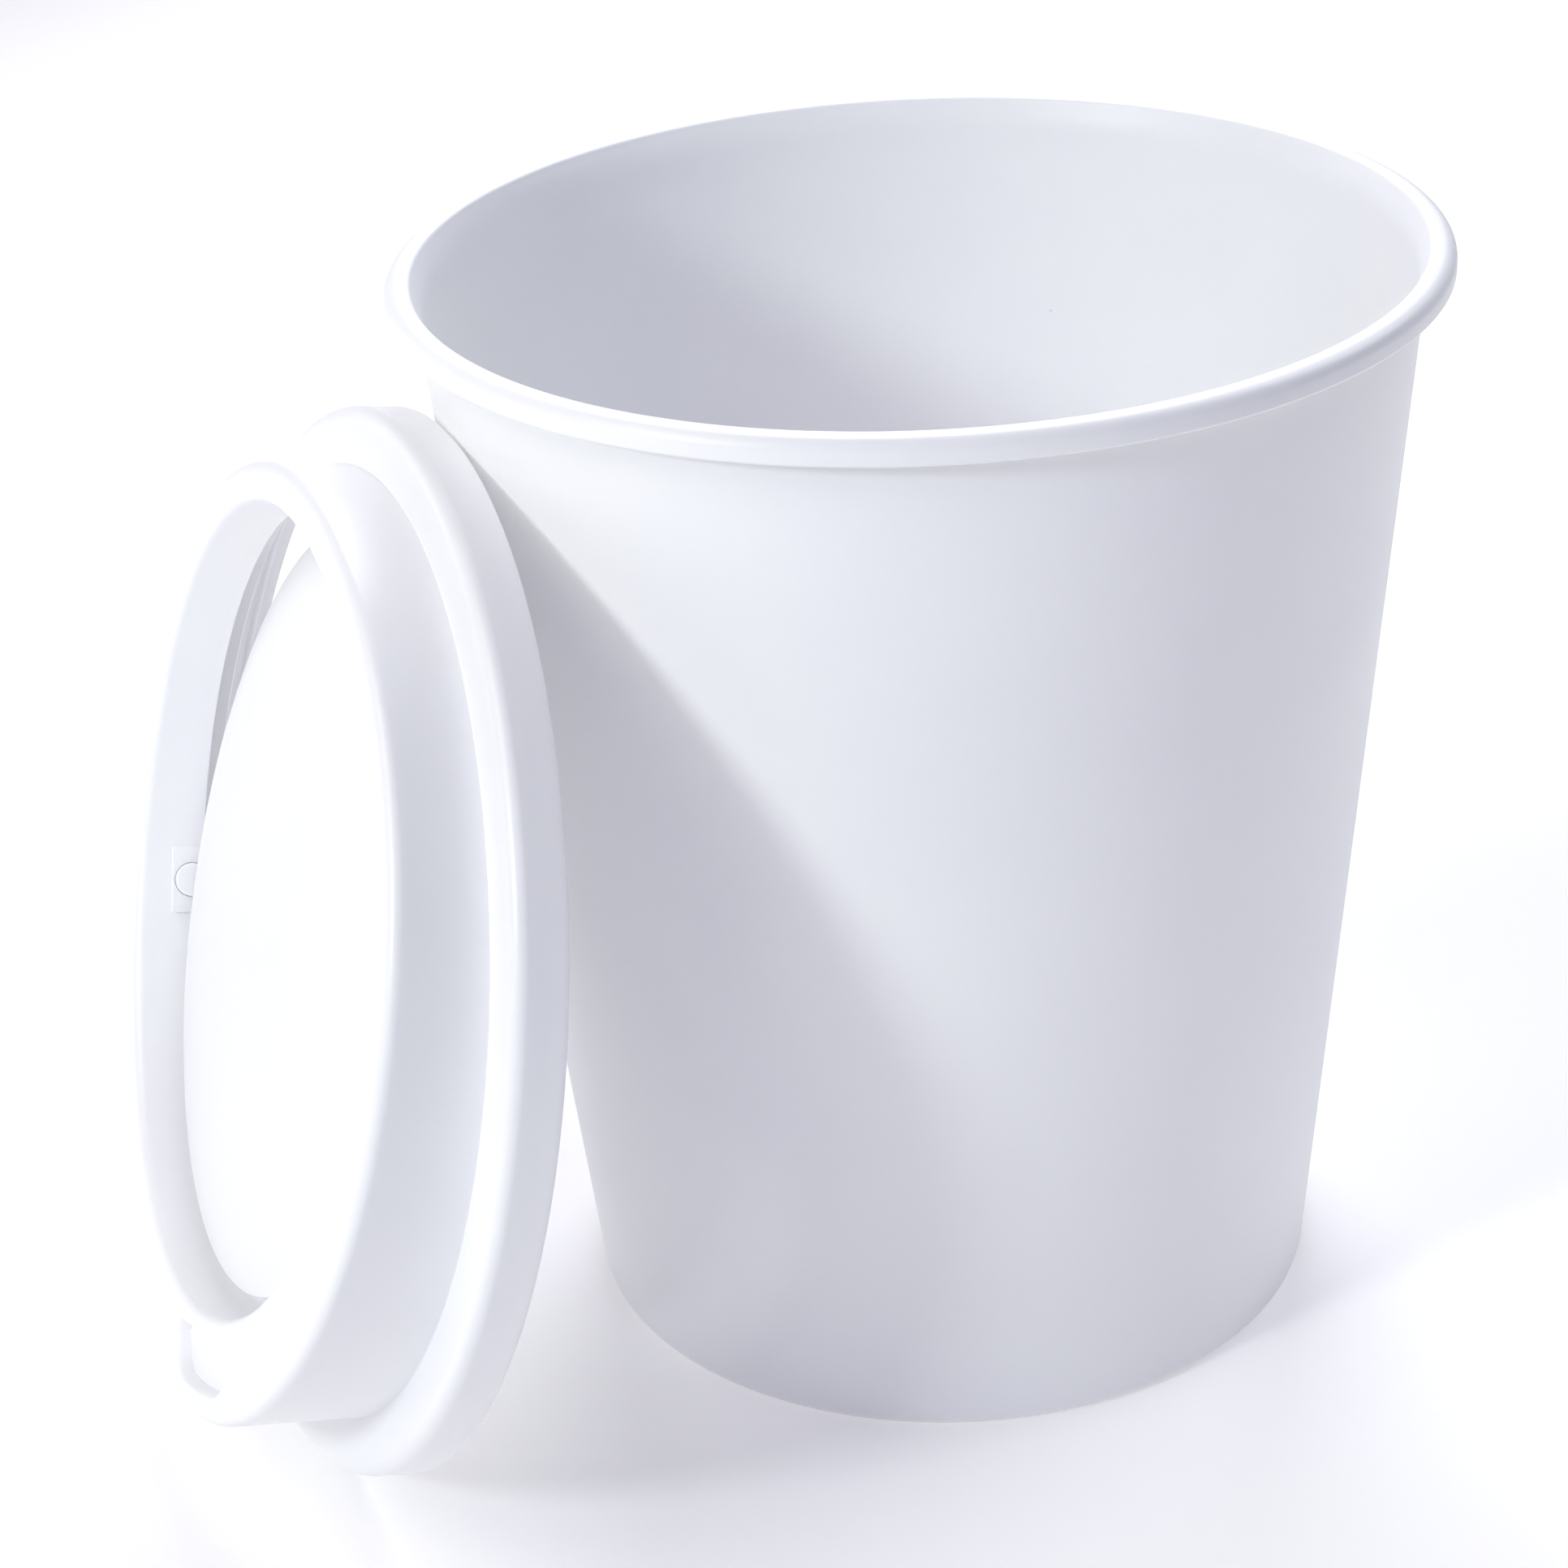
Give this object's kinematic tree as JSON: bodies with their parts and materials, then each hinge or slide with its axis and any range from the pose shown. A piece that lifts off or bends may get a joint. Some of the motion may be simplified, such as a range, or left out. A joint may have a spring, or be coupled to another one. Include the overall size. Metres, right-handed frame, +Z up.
{
  "type": "swing lid bin",
  "caption": "Small tapered waste bin shaped like a takeaway cup, with a rolled rim; its lid with a round swing flap is off and leans against the side.",
  "frame": {"origin": "centre of the bin's flat base, on the surface that the bin stands on", "axes": "+Z up along the bin's axis; the lid leans on the bin's -X side with its outer face towards -X"},
  "size_m": [0.3398, 0.254, 0.2717],
  "materials": {
    "bin_plastic": "satin white moulded polypropylene, fine grain",
    "lid_plastic": "satin white moulded polypropylene, fine grain",
    "flap_plastic": "satin white moulded polypropylene, fine grain",
    "pin_plastic": "satin white moulded plastic"
  },
  "bodies": {
    "bin": {"bin_body": "bin_plastic"},
    "lid": {"lid_shell": "lid_plastic"},
    "flap": {"swing_flap": "flap_plastic", "pivot_pin_left": "pin_plastic", "pivot_pin_right": "pin_plastic"}
  },
  "joints": [
    {"name": "lid_lift", "type": "slide", "parent": "bin", "child": "lid", "axis": [-0.7071, 0, 0.7071], "range_m": [0, 0.3]},
    {"name": "flap_swing", "type": "hinge", "parent": "lid", "child": "flap", "pos_m": [-0.1656, 0.00035, 0.13537], "axis": [0.0916, -0.9321, 0.3503], "range_deg": [0, 55]}
  ]
}
